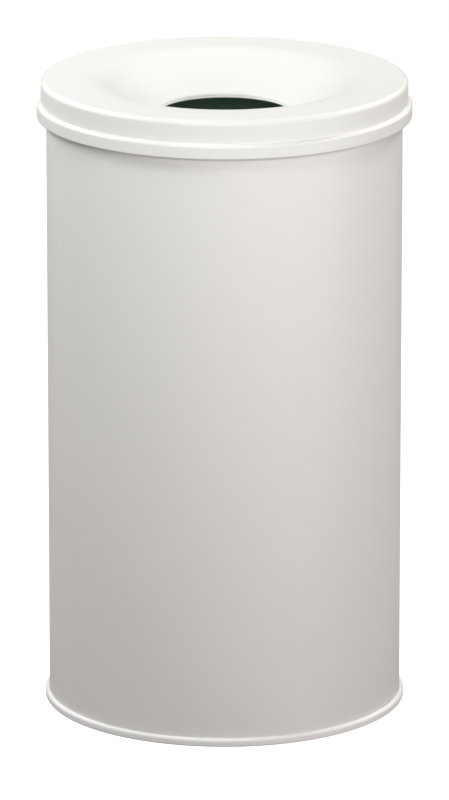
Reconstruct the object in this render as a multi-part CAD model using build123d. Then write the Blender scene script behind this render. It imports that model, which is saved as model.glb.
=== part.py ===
from build123d import *
import math
import os

# A round steel waste bin of the self-extinguishing kind. A loose lid with a dished
# funnel sits over the rolled rim of a plain tube, which stands in a plastic floor ring.
# Millimetres, +Z up. The origin is the centre of the floor ring's underside.

# Overall sizes
total_height = 662.0        # floor to the flat top of the lid
body_diameter = 366.8       # outside of the steel tube

# Sheets and wire
body_sheet = 0.8            # tube
bottom_sheet = 0.8          # pressed bottom
lid_sheet = 1.0             # pressed lid
wire_diameter = 5.0         # wire inside the tube's rolled rim

# Tube seam
seam_lap = 10.0             # width of the strip where the sheet overlaps itself
seam_notch = 3.0            # how far the lap stops short of the rim roll and the bottom
rim_roll_turn = 310.0       # degrees that the rim wraps round its wire

# Pressed bottom
bottom_rise = 9.5           # height of the bottom's upper face above the tube's lower edge
bottom_bend = 4.0           # outside radius of the bend from disc to flange

# Floor ring
ring_wall = 4.2             # how far the ring stands out from the tube
ring_height = 8.4           # outer lip
ring_floor = 2.5            # plastic under the tube's edge
ring_inner_wall = 2.0       # inner lip's thickness
ring_inner_height = 6.0     # inner lip
ring_rounding = 3.4         # rounding of the outer lip's top
ring_foot_rounding = 1.5    # rounding of the outer lip's foot
ring_edge_rounding = 0.5    # rounding of the other corners

# Lid, from its outside in
skirt_overhang = 5.5        # skirt's outside beyond the tube's outside
skirt_height = 24.0         # flat top down to the crease
band_step = 4.3             # band's outside beyond the skirt's outside
band_height = 15.0          # crease down to the band's lower edge
shoulder_radius = 3.4       # outer rounding at the top of the band
crease_radius = 0.7         # hollow corner between skirt and shoulder
rim_radius = 5.4            # rounding between skirt and flat top
hem_height = 6.0            # part of the band's lower edge that is folded up inside
hem_gap = 0.6               # space inside the fold
throat_diameter = 135.2     # clear width through the bead round the hole
throat_depth = 38.0         # flat top down to the underside of the bead
funnel_slope = 28.1         # degrees below level
funnel_bend_radius = 57.0   # easy bend from flat top into funnel
throat_bend_radius = 3.0    # bend from funnel into the short throat wall
bead_diameter = 2.4         # rolled safety edge of the throat
bead_proud = 0.7            # how far the bead stands into the hole past the throat wall

# Clearances
fit_gap = 0.1               # tube and bottom flange in the ring's groove, each side
flange_gap = 0.02           # bottom flange inside the tube
wire_gap = 0.05             # wire inside the roll
seat_gap = 0.3              # lid above the rolled rim

# Worked-out sizes
body_radius = body_diameter / 2
body_inside = body_radius - body_sheet
roll_radius = wire_diameter / 2 + wire_gap + body_sheet
roll_centre_radius = body_inside + roll_radius
flange_radius = body_inside - flange_gap
skirt_radius = body_radius + skirt_overhang
band_radius = skirt_radius + band_step
crease_level = total_height - skirt_height
throat_radius = throat_diameter / 2


def turned(section):
    """Solid made by turning a section, drawn as (radius, height), once round Z."""
    return revolve(Plane.XZ * section, Axis.Z)


def sheet_section(outline, thickness, side):
    """Closed section of a sheet: the outline is one face and the thickness lies to one side."""
    return make_face(offset(outline, amount=thickness, side=side).edges())


def roll_section(centre, radius, thickness, start, turn):
    """Section of a sheet rolled round a centre, its outside at the given radius."""
    outer = CenterArc(centre, radius, start, turn)
    inner = CenterArc(centre, radius - thickness, start, turn)
    return make_face([outer, Line(outer @ 1, inner @ 1), inner, Line(inner @ 0, outer @ 0)])


def strip_section(near, far, low, high):
    """Rectangular section between two radii and two heights."""
    return Pos((near + far) / 2, (low + high) / 2) * Rectangle(far - near, high - low)


def roll_centre_height():
    """Height of the rolled rim's centre, where the roll is seat_gap below the lid.

    The lid's underside over the roll is a skirt wall that turns out into a flat
    shoulder through a bend whose centre lies outside the skirt and below the crease.
    The roll touches the bend when the two centres are one roll and one bend apart.
    """
    bend = crease_radius + lid_sheet
    bend_centre_radius = skirt_radius + crease_radius
    bend_centre_height = crease_level + crease_radius
    reach = bend + roll_radius + seat_gap
    across = bend_centre_radius - roll_centre_radius
    return bend_centre_height - math.sqrt(reach**2 - across**2)


roll_height = roll_centre_height()
tube_foot = ring_floor


def make_body_shell():
    """Rolled tube with an outward roll at the rim and a lapped seam at the back."""
    wall = strip_section(body_inside, body_radius, tube_foot, roll_height)
    centre = (roll_centre_radius, roll_height)
    roll = roll_section(centre, roll_radius, body_sheet, 180, -rim_roll_turn)
    tube = turned(wall + roll)

    lap_foot = tube_foot + bottom_rise + seam_notch
    lap_height = roll_height - roll_radius - seam_notch - lap_foot
    lap_turn = math.degrees(seam_lap / body_inside)
    strip = Pos(body_inside - body_sheet / 2, 0, lap_foot + lap_height / 2) * Box(
        body_sheet, 0.01, lap_height
    )
    face = strip.faces().sort_by(Axis.Y)[0]
    lap = revolve(face, Axis.Z, lap_turn)
    return tube + Rot(0, 0, 90 - lap_turn / 2) * lap


def make_rim_wire():
    """Steel wire ring that the rim is rolled round."""
    section = Pos(roll_centre_radius, roll_height) * Circle(wire_diameter / 2)
    return turned(section)


def make_bottom_plate():
    """Pressed disc, raised clear of the floor, with a flange down inside the tube."""
    disc_level = tube_foot + bottom_rise
    outline = FilletPolyline(
        (0, disc_level),
        (flange_radius, disc_level),
        (flange_radius, tube_foot),
        radius=bottom_bend,
    )
    return turned(sheet_section(outline, bottom_sheet, Side.RIGHT))


def make_base_ring():
    """Plastic channel pushed up over the tube's lower edge."""
    groove_outside = body_radius + fit_gap
    groove_inside = flange_radius - bottom_sheet - fit_gap
    ring_outside = body_radius + ring_wall
    ring_inside = groove_inside - ring_inner_wall
    section = make_face(
        Polyline(
            (ring_inside, 0),
            (ring_outside, 0),
            (ring_outside, ring_height),
            (groove_outside, ring_height),
            (groove_outside, ring_floor),
            (groove_inside, ring_floor),
            (groove_inside, ring_inner_height),
            (ring_inside, ring_inner_height),
            close=True,
        )
    )
    roundings = {
        (ring_outside, ring_height): ring_rounding,
        (ring_outside, 0): ring_foot_rounding,
        (ring_inside, 0): ring_edge_rounding,
        (groove_outside, ring_height): ring_edge_rounding,
        (groove_inside, ring_inner_height): ring_edge_rounding,
        (ring_inside, ring_inner_height): ring_edge_rounding,
    }
    for corner, radius in roundings.items():
        vertex = section.vertices().sort_by_distance(corner)[0]
        section = fillet(vertex, radius)
    return turned(section)


def make_lid_head():
    """One pressed sheet: band, shoulder, skirt, flat top, funnel and throat, with a beaded edge."""
    hem_width = 2 * lid_sheet + hem_gap
    band_foot = crease_level - band_height + hem_width / 2
    wall_radius = throat_radius + bead_proud
    throat_foot = total_height - throat_depth
    bead_level = throat_foot + bead_diameter / 2
    slope = math.tan(math.radians(funnel_slope))

    # The funnel's line passes through the end of its bend into the throat wall.
    turn = math.radians(90 - funnel_slope)
    wall_corner = bead_level + bead_diameter / 2 + throat_bend_radius * math.tan(turn / 2)
    flat_corner = wall_radius + (total_height - wall_corner) / slope

    hem_inside = band_radius - hem_width
    hem_leg = strip_section(hem_inside, hem_inside + lid_sheet, band_foot, band_foot + hem_height)
    hem_centre = (band_radius - hem_width / 2, band_foot)
    hem_fold = roll_section(hem_centre, hem_width / 2, lid_sheet, 180, 180)
    outside = FilletPolyline(
        (band_radius, band_foot),
        (band_radius, crease_level),
        (skirt_radius, crease_level),
        (skirt_radius, total_height),
        (flat_corner, total_height),
        (wall_radius, wall_corner),
        (wall_radius, bead_level),
        radius=[
            shoulder_radius,
            crease_radius,
            rim_radius,
            funnel_bend_radius,
            throat_bend_radius,
        ],
    )
    bead = Pos(throat_radius + bead_diameter / 2, bead_level) * Circle(bead_diameter / 2)
    return turned(sheet_section(outside, lid_sheet, Side.LEFT) + hem_leg + hem_fold + bead)


makers = {
    "body_shell": make_body_shell,
    "rim_wire": make_rim_wire,
    "bottom_plate": make_bottom_plate,
    "base_ring": make_base_ring,
    "lid_head": make_lid_head,
}

os.makedirs("parts", exist_ok=True)
for name, make in makers.items():
    piece = make()
    piece.label = name
    export_step(piece, f"parts/{name}.step")
    box = piece.bounding_box()
    print(name, "solids", len(piece.solids()), "volume", round(piece.volume), box.min, box.max)
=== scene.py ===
import math
import bpy
import numpy as np
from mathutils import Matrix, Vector


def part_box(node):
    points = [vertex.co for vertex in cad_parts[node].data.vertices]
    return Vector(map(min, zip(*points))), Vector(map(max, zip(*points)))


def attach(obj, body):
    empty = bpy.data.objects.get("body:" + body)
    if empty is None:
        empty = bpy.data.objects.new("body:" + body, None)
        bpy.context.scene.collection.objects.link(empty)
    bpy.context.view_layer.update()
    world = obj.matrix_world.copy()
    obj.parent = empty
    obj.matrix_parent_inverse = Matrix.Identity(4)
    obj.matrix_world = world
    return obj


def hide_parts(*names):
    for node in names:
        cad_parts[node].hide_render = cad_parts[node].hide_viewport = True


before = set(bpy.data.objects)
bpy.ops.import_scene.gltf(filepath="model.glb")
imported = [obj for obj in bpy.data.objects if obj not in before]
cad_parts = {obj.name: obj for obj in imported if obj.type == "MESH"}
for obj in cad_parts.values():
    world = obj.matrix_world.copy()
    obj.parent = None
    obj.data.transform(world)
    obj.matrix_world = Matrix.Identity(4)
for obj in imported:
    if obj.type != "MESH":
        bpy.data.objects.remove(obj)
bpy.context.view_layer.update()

# ---- Steel tube --------------------------------------------------------------------
# The can's wall: one 0.8 mm steel sheet rolled into a tube, lapped and spot-welded up
# the back, with its top edge rolled outwards round a wire. It is powder coated off-white
# outside and lacquered green inside before the bottom goes in.

mm = 0.001
foot_low, foot_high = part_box("base_ring")
shell_low, shell_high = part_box("body_shell")

ring_wall = 4.2 * mm                       # the floor ring stands this far out from the tube
body_sheet = 0.8 * mm
body_radius = foot_high.x - ring_wall
body_inside = body_radius - body_sheet
roll_radius = (shell_high.x - body_inside) / 2
roll_level = shell_high.z - roll_radius
roll_turn = 310                            # degrees that the sheet wraps round the wire

seam_groove = 0.35 * mm                    # depth of the line where the outer edge of the lap ends
seam_groove_width = 0.9 * mm
seam_lap = 10 * mm                         # width of the lap, raised on the inside
weld_pitch = 44 * mm
weld_radius = 2.6 * mm
weld_depth = 0.22 * mm
dimple_reach = 1.2                         # in weld radii, how far points bunch up round a weld
dimple_points = 7
first_weld = 34 * mm                       # lowest weld above the floor
last_weld = 24 * mm                        # space left clear of welds below the roll
lap_ramp = 0.3 * mm                        # width over which the lap rises to its full height
lap_foot = 12.5 * mm                       # the seam starts this far above the tube's lower edge
lap_head = 6 * mm                          # and stops this far below the roll
level_steps = 24
seam_steps = 61
sharp_turn = math.radians(40)              # faces meeting at more than this are shaded as an edge


def arc(centre, radius, start, turn, step=9):
    """Points on a circle in a section: centre + radius * (cos a, sin a), a in degrees from start."""
    count = max(3, int(abs(turn) / step) + 1)
    a = np.radians(np.linspace(start, start + turn, count))
    return np.column_stack((centre[0] + radius * np.cos(a), centre[1] + radius * np.sin(a)))


def surface(name, points):
    """Closed skin over a grid of points that joins up with itself both ways.

    Row i is one station round the axis and column j one point of the section, and each
    quad joins (i, j), (i + 1, j), (i + 1, j + 1), (i, j + 1). Faces point outwards: if the
    volume, the sum of p . (q x r) / 6 over the triangles, is negative, they are reversed.
    """
    rows, columns = points.shape[:2]
    i, j = np.meshgrid(np.arange(rows), np.arange(columns), indexing="ij")
    corner = i * columns + j
    along = i * columns + (j + 1) % columns
    across = (i + 1) % rows * columns + j
    beyond = (i + 1) % rows * columns + (j + 1) % columns
    quads = np.stack((corner, across, beyond, along), axis=-1).reshape(-1, 4)
    flat = points.reshape(-1, 3)
    p, q, r, s = (flat[quads[:, k]] for k in range(4))
    volume = np.einsum("ij,ij->", p, np.cross(q, r)) + np.einsum("ij,ij->", p, np.cross(r, s))
    if volume < 0:
        quads = quads[:, ::-1]
    mesh = bpy.data.meshes.new(name)
    mesh.from_pydata(flat.tolist(), [], quads.tolist())
    mesh.polygons.foreach_set("use_smooth", np.full(len(quads), True))
    mesh.set_sharp_from_angle(angle=sharp_turn)
    mesh.validate()
    made = bpy.data.objects.new(name, mesh)
    bpy.context.scene.collection.objects.link(made)
    return made


def turned(section, angles):
    """Grid of a section turned about Z: (r cos a, r sin a, z) for each angle a and point (r, z)."""
    r, z = section[:, 0], section[:, 1]
    a = angles[:, None]
    level = np.broadcast_to(z, (len(angles), len(z)))
    return np.stack((r * np.cos(a), r * np.sin(a), level), axis=-1)


def hexed(code):
    """Linear colour of an sRGB hex value: ((c + 0.055) / 1.055) ** 2.4, or c / 12.92 near black."""
    c = np.array([int(code[k : k + 2], 16) / 255 for k in (0, 2, 4)])
    linear = np.where(c <= 0.04045, c / 12.92, ((c + 0.055) / 1.055) ** 2.4)
    return (*linear, 1.0)


def node(tree, kind, links=None, **settings):
    """Adds a node: settings name its properties or its inputs' values, links its inputs' sources."""
    made = tree.nodes.new(kind)
    for key, value in settings.items():
        if hasattr(made, key):
            setattr(made, key, value)
        else:
            made.inputs[key.replace("_", " ")].default_value = value
    for key, source in (links or {}).items():
        tree.links.new(source, made.inputs[key])
    return made


def coated(name, shade, tint, roughness, peel, grain):
    """Painted or moulded skin: an even colour with soft peel, fine grain and a slow drift of tint.

    peel and grain are each a (spacing, height) pair in metres. The drift between the two
    tints follows a cloud noise some 0.2 m across, and the gloss varies with the same noise.
    """
    cloud_size = 0.2
    gloss_change = 0.04
    material = bpy.data.materials.new(name)
    material.use_nodes = True
    tree = material.node_tree
    shader = tree.nodes["Principled BSDF"]
    shader.inputs["IOR"].default_value = 1.5
    place = node(tree, "ShaderNodeTexCoord").outputs["Object"]
    cloud = node(tree, "ShaderNodeTexNoise", {"Vector": place}, Scale=1 / cloud_size, Detail=2.0)
    blend = node(tree, "ShaderNodeMix", {"Factor": cloud.outputs["Fac"]}, data_type="RGBA")
    blend.inputs["A"].default_value = hexed(shade)
    blend.inputs["B"].default_value = hexed(tint)
    tree.links.new(blend.outputs["Result"], shader.inputs["Base Color"])
    gloss = node(tree, "ShaderNodeMapRange", {"Value": cloud.outputs["Fac"]})
    gloss.inputs["To Min"].default_value = roughness - gloss_change
    gloss.inputs["To Max"].default_value = roughness + gloss_change
    tree.links.new(gloss.outputs["Result"], shader.inputs["Roughness"])
    normal = None
    for spacing, height in (peel, grain):
        noise = node(tree, "ShaderNodeTexNoise", {"Vector": place}, Scale=1 / spacing, Detail=1.0)
        links = {"Height": noise.outputs["Fac"]}
        if normal:
            links["Normal"] = normal
        bump = node(tree, "ShaderNodeBump", links, Distance=height, Strength=1.0)
        normal = bump.outputs["Normal"]
    tree.links.new(normal, shader.inputs["Normal"])
    return material


# Section of the tube as one closed loop: up the inside, round the roll, back down the
# outside. Levels bunch up at each spot weld so that its dimple is drawn.
weld_levels = np.arange(foot_low.z + first_weld, roll_level - last_weld, weld_pitch)
dimple = np.linspace(-dimple_reach, dimple_reach, dimple_points) * weld_radius
weld_rows = (weld_levels[:, None] + dimple).ravel()
wall_rows = np.linspace(shell_low.z, roll_level, level_steps)
levels = np.unique(np.round(np.concatenate((weld_rows, wall_rows)), 7))
roll_centre = (body_inside + roll_radius, roll_level)
over = arc(roll_centre, roll_radius, 180, -roll_turn)
under = arc(roll_centre, roll_radius - body_sheet, 180 - roll_turn, roll_turn)
inner_wall = np.column_stack((np.full(len(levels), body_inside), levels))
outer_wall = np.column_stack((np.full(len(levels), body_radius), levels))[::-1]
tube_section = np.vstack((inner_wall, over[1:], under[:-1], outer_wall))

# Angles bunch up at the seam, which faces the back.
turn_steps = 240
seam_half = seam_lap / body_radius
around = np.linspace(-math.pi, math.pi, turn_steps, endpoint=False)
around = around[np.abs(around) > seam_half]
across_seam = np.linspace(-seam_half, seam_half, seam_steps)
around = np.sort(np.concatenate((around, across_seam)))
tube_grid = turned(tube_section, around + math.pi / 2)

# The outside sinks by a narrow groove along the seam's edge and by a round dimple at
# each weld: depth * (1 - (d / radius)^2)^2. The inside is raised by the lap's thickness.
arc_length = around[:, None] * body_radius
height = tube_section[:, 1][None, :]
lap_edge = seam_lap / 2
groove = seam_groove * np.exp(-(((arc_length - lap_edge) / (seam_groove_width / 2)) ** 2))
nearest = np.min(np.abs(height[..., None] - weld_levels), axis=-1)
spread = (arc_length**2 + nearest**2) / weld_radius**2
dents = weld_depth * np.clip(1 - spread, 0, None) ** 2
lap = body_sheet * np.clip((lap_edge - np.abs(arc_length)) / lap_ramp, 0, 1)
column = np.arange(len(tube_section))
is_inside = (column < len(inner_wall))[None, :]
is_outside = (column >= len(tube_section) - len(outer_wall))[None, :]
has_seam = (height > shell_low.z + lap_foot) & (height < roll_level - lap_head)
shift = is_outside * has_seam * -(groove + dents) - is_inside * has_seam * (lap - dents)
tube_grid[..., 0] += shift * np.cos(around + math.pi / 2)[:, None]
tube_grid[..., 1] += shift * np.sin(around + math.pi / 2)[:, None]

tube = surface("tube", tube_grid)

# A satin off-white skin with faint orange peel, so that light fades evenly round the wall.
off_white_coat = coated(
    "off_white_powder_coat",
    "E6E5E2",
    "E4E3E0",
    0.42,
    (2.2 * mm, 0.02 * mm),
    (0.5 * mm, 0.006 * mm),
)
# A mid green that reads as a dark one in the shade inside the can.
green_lacquer = coated(
    "green_lacquer", "7E9F80", "7A9B7D", 0.4, (3.0 * mm, 0.02 * mm), (0.6 * mm, 0.006 * mm)
)
tube.data.materials.append(off_white_coat)
tube.data.materials.append(green_lacquer)
inside_faces = np.tile(column < len(inner_wall) - 1, len(around))
tube.data.polygons.foreach_set("material_index", inside_faces.astype(np.int32))

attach(tube, "can")
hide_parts("body_shell")

# ---- Rim wire ----------------------------------------------------------------------
# Drawn steel wire, bent to a hoop, that the tube's top edge is rolled round. It stays
# inside the roll and shows only through the slit below it.

wire_steel = bpy.data.materials.new("drawn_steel_wire")
wire_steel.use_nodes = True
steel_tree = wire_steel.node_tree
steel = steel_tree.nodes["Principled BSDF"]
steel.inputs["Base Color"].default_value = hexed("A9A8A6")
steel.inputs["Metallic"].default_value = 1.0
draw_marks = node(
    steel_tree,
    "ShaderNodeTexNoise",
    {"Vector": node(steel_tree, "ShaderNodeTexCoord").outputs["Object"]},
    Scale=1 / (0.6 * mm),
    Detail=2.0,
)
worn = node(steel_tree, "ShaderNodeMapRange", {"Value": draw_marks.outputs["Fac"]})
worn.inputs["To Min"].default_value = 0.28
worn.inputs["To Max"].default_value = 0.5
steel_tree.links.new(worn.outputs["Result"], steel.inputs["Roughness"])
rim_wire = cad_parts["rim_wire"]
rim_wire.data.materials.clear()
rim_wire.data.materials.append(wire_steel)

# ---- Bottom ------------------------------------------------------------------------
# A steel disc pressed with a flange that fits down inside the tube, lacquered green with
# the inside of the can.

plate_low, plate_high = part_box("bottom_plate")
plate_sheet = 0.8 * mm
plate_bend = 4 * mm
plate_radius = plate_high.x

top_line = np.column_stack(
    (np.linspace(0.0, plate_radius - plate_bend, 24), np.full(24, plate_high.z))
)
bend_top = arc((plate_radius - plate_bend, plate_high.z - plate_bend), plate_bend, 90, -90)
bend_low = arc(
    (plate_radius - plate_bend, plate_high.z - plate_bend), plate_bend - plate_sheet, 0, 90
)
foot = np.array([(plate_radius, plate_low.z), (plate_radius - plate_sheet, plate_low.z)])
low_line = np.column_stack(
    (np.linspace(plate_radius - plate_bend, 0.0, 24), np.full(24, plate_high.z - plate_sheet))
)
plate_section = np.vstack((top_line, bend_top[1:], foot, bend_low, low_line[1:]))
even_turns = np.linspace(0, 2 * math.pi, turn_steps, endpoint=False)


def disc(name, section, angles):
    """Closed skin of a section that starts and ends on the axis, turned about Z.

    Each end of the section is one point, joined to the ring of points next to it by a fan
    of triangles, and the rings between are joined by quads as in surface().
    """
    grid = turned(section[1:-1], angles)
    rows, columns = grid.shape[:2]
    i, j = np.meshgrid(np.arange(rows), np.arange(columns - 1), indexing="ij")
    corner = i * columns + j
    across = (i + 1) % rows * columns + j
    quads = np.stack((corner, corner + 1, across + 1, across), axis=-1).reshape(-1, 4)
    top, low = rows * columns, rows * columns + 1
    ring = np.arange(rows) * columns
    following = np.roll(ring, -1)
    top_fan = np.column_stack((np.full(rows, top), ring, following))
    low_fan = np.column_stack((np.full(rows, low), following + columns - 1, ring + columns - 1))
    poles = np.array([(0, 0, section[0, 1]), (0, 0, section[-1, 1])])
    points = np.vstack((grid.reshape(-1, 3), poles))
    mesh = bpy.data.meshes.new(name)
    mesh.from_pydata(points.tolist(), [], quads.tolist() + top_fan.tolist() + low_fan.tolist())
    mesh.polygons.foreach_set("use_smooth", np.full(len(mesh.polygons), True))
    mesh.set_sharp_from_angle(angle=sharp_turn)
    mesh.validate()
    made = bpy.data.objects.new(name, mesh)
    bpy.context.scene.collection.objects.link(made)
    return made


bottom = disc("bottom", plate_section, even_turns)
bottom.data.materials.append(green_lacquer)
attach(bottom, "can")
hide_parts("bottom_plate")

# ---- Floor ring --------------------------------------------------------------------
# A moulded channel of white polypropylene, pushed up over the tube's lower edge so that
# the steel doesn't mark the floor. Its outer edges are rounded, most at the top.

ring_floor = 2.5 * mm
ring_inner_wall = 2.0 * mm
ring_inner_height = 6.0 * mm
ring_rounding = 3.4 * mm
ring_foot_rounding = 1.5 * mm
ring_edge_rounding = 0.5 * mm
fit_gap = 0.1 * mm
flange_gap = 0.02 * mm

groove_outside = body_radius + fit_gap
groove_inside = body_inside - flange_gap - plate_sheet - fit_gap
ring_outside = foot_high.x
ring_inside = groove_inside - ring_inner_wall


def rounded(corners, radii, closed=True):
    """Outline of straight runs with each corner replaced by the arc of its radius.

    At a corner that turns by t, the arc starts and ends radius * tan(t / 2) away along
    the runs, and its centre is radius / cos(t / 2) away on the inside of the turn.
    """
    points = []
    count = len(corners)
    for k, (corner, radius) in enumerate(zip(corners, radii)):
        here = np.array(corner, float)
        before = np.array(corners[k - 1], float) - here
        after = np.array(corners[(k + 1) % count], float) - here
        is_end = not closed and k in (0, count - 1)
        if is_end or radius == 0:
            points.append(here[None])
            continue
        before /= np.linalg.norm(before)
        after /= np.linalg.norm(after)
        half = math.acos(np.clip(before @ after, -1, 1)) / 2
        reach = radius / math.tan(half)
        middle = here + (before + after) / np.linalg.norm(before + after) * radius / math.sin(half)
        start = here + before * reach - middle
        end = here + after * reach - middle
        first = math.degrees(math.atan2(start[1], start[0]))
        swing = (math.degrees(math.atan2(end[1], end[0])) - first + 180) % 360 - 180
        points.append(arc(middle, radius, first, swing, step=6))
    return np.vstack(points)


ring_section = rounded(
    [
        (ring_inside, 0),
        (ring_outside, 0),
        (ring_outside, foot_high.z),
        (groove_outside, foot_high.z),
        (groove_outside, ring_floor),
        (groove_inside, ring_floor),
        (groove_inside, ring_inner_height),
        (ring_inside, ring_inner_height),
    ],
    [
        ring_edge_rounding,
        ring_foot_rounding,
        ring_rounding,
        ring_edge_rounding,
        0,
        0,
        ring_edge_rounding,
        ring_edge_rounding,
    ],
)
floor_ring = surface("floor_ring", turned(ring_section, even_turns))
# A moulded skin, a little whiter and duller than the paint above it.
ring_plastic = coated(
    "white_polypropylene", "F2F1EF", "F0EFED", 0.6, (1.2 * mm, 0.008 * mm), (0.4 * mm, 0.008 * mm)
)
floor_ring.data.materials.append(ring_plastic)
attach(floor_ring, "can")
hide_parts("base_ring")

# ---- Lid ---------------------------------------------------------------------------
# One 1 mm steel sheet, pressed: a band that hangs over the rim, a rounded shoulder that
# sits on it, a plain skirt, a flat top and a dished funnel down to an open throat. The
# band's lower edge is hemmed inside and the throat's edge is rolled to a small bead.

lid_low, lid_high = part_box("lid_head")
lid_sheet = 1.0 * mm
band_step = 4.3 * mm
skirt_height = 24 * mm
shoulder_radius = 3.4 * mm
crease_radius = 0.7 * mm
rim_radius = 5.4 * mm
hem_height = 6 * mm
hem_gap = 0.6 * mm
throat_radius = 67.6 * mm
throat_depth = 38 * mm
funnel_slope = math.radians(28.1)
funnel_bend = 57 * mm
throat_bend = 3 * mm
bead_radius = 1.2 * mm
bead_proud = 0.7 * mm

band_radius = lid_high.x
skirt_radius = band_radius - band_step
lid_top = lid_high.z
crease_level = lid_top - skirt_height
hem_width = 2 * lid_sheet + hem_gap
hem_level = lid_low.z + hem_width / 2
wall_radius = throat_radius + bead_proud
bead_level = lid_top - throat_depth + bead_radius
wall_corner = bead_level + bead_radius + throat_bend * math.tan((math.pi / 2 - funnel_slope) / 2)
flat_corner = wall_radius + (lid_top - wall_corner) / math.tan(funnel_slope)
bead_join = math.sqrt(bead_radius**2 - (bead_radius - bead_proud) ** 2)


def thicker(outline, thickness):
    """The sheet's other face: each point moved by the thickness, to the left of its run."""
    run = np.gradient(outline, axis=0)
    run /= np.linalg.norm(run, axis=1)[:, None]
    return outline + thickness * np.column_stack((-run[:, 1], run[:, 0]))


def stepped(outline, longest):
    """The same outline with points added so that no run is longer than the given length."""
    out = [outline[:1]]
    for a, b in zip(outline[:-1], outline[1:]):
        count = max(1, math.ceil(np.linalg.norm(b - a) / longest))
        out.append(a + (b - a) * (np.arange(1, count + 1) / count)[:, None])
    return np.vstack(out)


face = rounded(
    [
        (band_radius, hem_level),
        (band_radius, crease_level),
        (skirt_radius, crease_level),
        (skirt_radius, lid_top),
        (flat_corner, lid_top),
        (wall_radius, wall_corner),
        (wall_radius, bead_level + bead_join),
    ],
    [0, shoulder_radius, crease_radius, rim_radius, funnel_bend, throat_bend, 0],
    closed=False,
)
face = stepped(face, 3 * mm)
back = thicker(face, lid_sheet)[::-1]
bead_centre = (throat_radius + bead_radius, bead_level)
bead_other = math.degrees(math.asin(bead_join / bead_radius))
bead_start = 180 - bead_other
bead = arc(bead_centre, bead_radius, bead_start, 360 - (bead_start - bead_other), step=15)
hem_middle = band_radius - hem_width / 2
hem_outer = arc((hem_middle, hem_level), hem_width / 2, 180, 180, step=12)
hem_inner = arc((hem_middle, hem_level), hem_gap / 2, 360, -180, step=30)
hem_end = hem_level + hem_height
leg_inside = band_radius - hem_width
leg = np.array([(leg_inside + lid_sheet, hem_end), (leg_inside, hem_end)])
lid_section = np.vstack((face, bead[1:-1], back, hem_inner[1:], leg, hem_outer[:-1]))
lid = surface("lid", turned(lid_section, even_turns))

# Satin white with less peel than the tube's coat, so that bends carry a soft bright line.
white_coat = coated(
    "white_powder_coat", "E6E6E2", "E5E5E1", 0.46, (2.0 * mm, 0.016 * mm), (0.5 * mm, 0.004 * mm)
)
lid.data.materials.append(white_coat)
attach(lid, "lid")
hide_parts("lid_head")

# ---- Studio ------------------------------------------------------------------------
# A plain white floor under soft boxes. The floor is two sheets: the lens sees a glowing
# white one, and the can is lit from below by a plain one that the lens doesn't see.

half_floor = 15.0


def sheet(name, level, shade, glow, tint=(1, 1, 1)):
    """A square of even, matt white paper at a level, with its own glow."""
    mesh = bpy.data.meshes.new(name)
    corners = half_floor * np.array([(-1, -1, 0), (1, -1, 0), (1, 1, 0), (-1, 1, 0)])
    mesh.from_pydata((corners + (0, 0, level)).tolist(), [], [(0, 1, 2, 3)])
    paint = bpy.data.materials.new(f"{name}_paper")
    paint.use_nodes = True
    shader = paint.node_tree.nodes["Principled BSDF"]
    shader.inputs["Base Color"].default_value = (*(shade * np.array(tint)), 1)
    shader.inputs["Roughness"].default_value = 0.9
    shader.inputs["Specular IOR Level"].default_value = 0.0
    shader.inputs["Emission Color"].default_value = (1, 1, 1, 1)
    shader.inputs["Emission Strength"].default_value = glow
    mesh.materials.append(paint)
    made = bpy.data.objects.new(name, mesh)
    bpy.context.scene.collection.objects.link(made)
    return made


floor = sheet("floor", 0.0, 0.4, 0.97)
floor.visible_diffuse = floor.visible_glossy = floor.visible_shadow = False
bounce = sheet("bounce", -0.2 * mm, 0.32, 0.0, (1.07, 0.97, 0.96))
bounce.visible_camera = False

world = bpy.data.worlds.new("studio")
bpy.context.scene.world = world
world.use_nodes = True
world.node_tree.nodes["Background"].inputs["Color"].default_value = (1, 1, 1, 1)
world.node_tree.nodes["Background"].inputs["Strength"].default_value = 0.98
seen = world.cycles_visibility
seen.diffuse = seen.glossy = seen.transmission = seen.scatter = False


def soft_box(name, place, aim, width, height, power, tint=(1, 1, 1)):
    """A rectangular light at a place, facing a point, that the lens doesn't see."""
    light = bpy.data.lights.new(name, "AREA")
    light.shape = "RECTANGLE"
    light.size, light.size_y = width, height
    light.energy = power
    light.color = tint
    made = bpy.data.objects.new(name, light)
    made.location = place
    made.rotation_euler = (Vector(aim) - Vector(place)).to_track_quat("-Z", "Y").to_euler()
    made.visible_camera = False
    bpy.context.scene.collection.objects.link(made)
    return made


soft_box("back_top_right", (1.0, 0.8, 1.5), (0, 0, 0.6), 0.6, 0.6, 16.0)
soft_box("back_top_left", (-1.0, 0.8, 1.5), (0, 0, 0.6), 0.6, 0.6, 12.5)
soft_box("side_left_high", (-1.4, -0.2, 1.7), (0, 0, 0.5), 0.6, 0.8, 17.1)
soft_box("front_near", (0, -1.1, 0.9), (0, 0, 0.5), 1.0, 0.4, 7.0)
soft_box("front_high", (0, -1.2, 2.2), (0, 0, 0.4), 0.7, 0.5, 8.0)
soft_box("right_near", (1.1, -0.6, 0.9), (0, 0, 0.5), 0.4, 0.5, 2.2)
soft_box("right_far", (3.0, -1.5, 1.2), (0, 0, 0.4), 1.5, 2.0, 31.8, (1.0, 0.94, 0.93))
soft_box("back_left_low", (-2.2, 2.2, 0.35), (0, 0, 0.3), 2.0, 0.5, 5.6)

# ---- Camera ------------------------------------------------------------------------
# A long lens, level side to side and looking down at the lid.
camera_data = bpy.data.cameras.new("camera")
camera = bpy.data.objects.new("camera", camera_data)
bpy.context.scene.collection.objects.link(camera)
bpy.context.scene.camera = camera
camera_data.lens = 360
camera.location = (0, -8, 2.58)
camera.rotation_euler = (math.radians(90 - 15.79), 0, 0)
bpy.context.scene.view_settings.view_transform = "Standard"
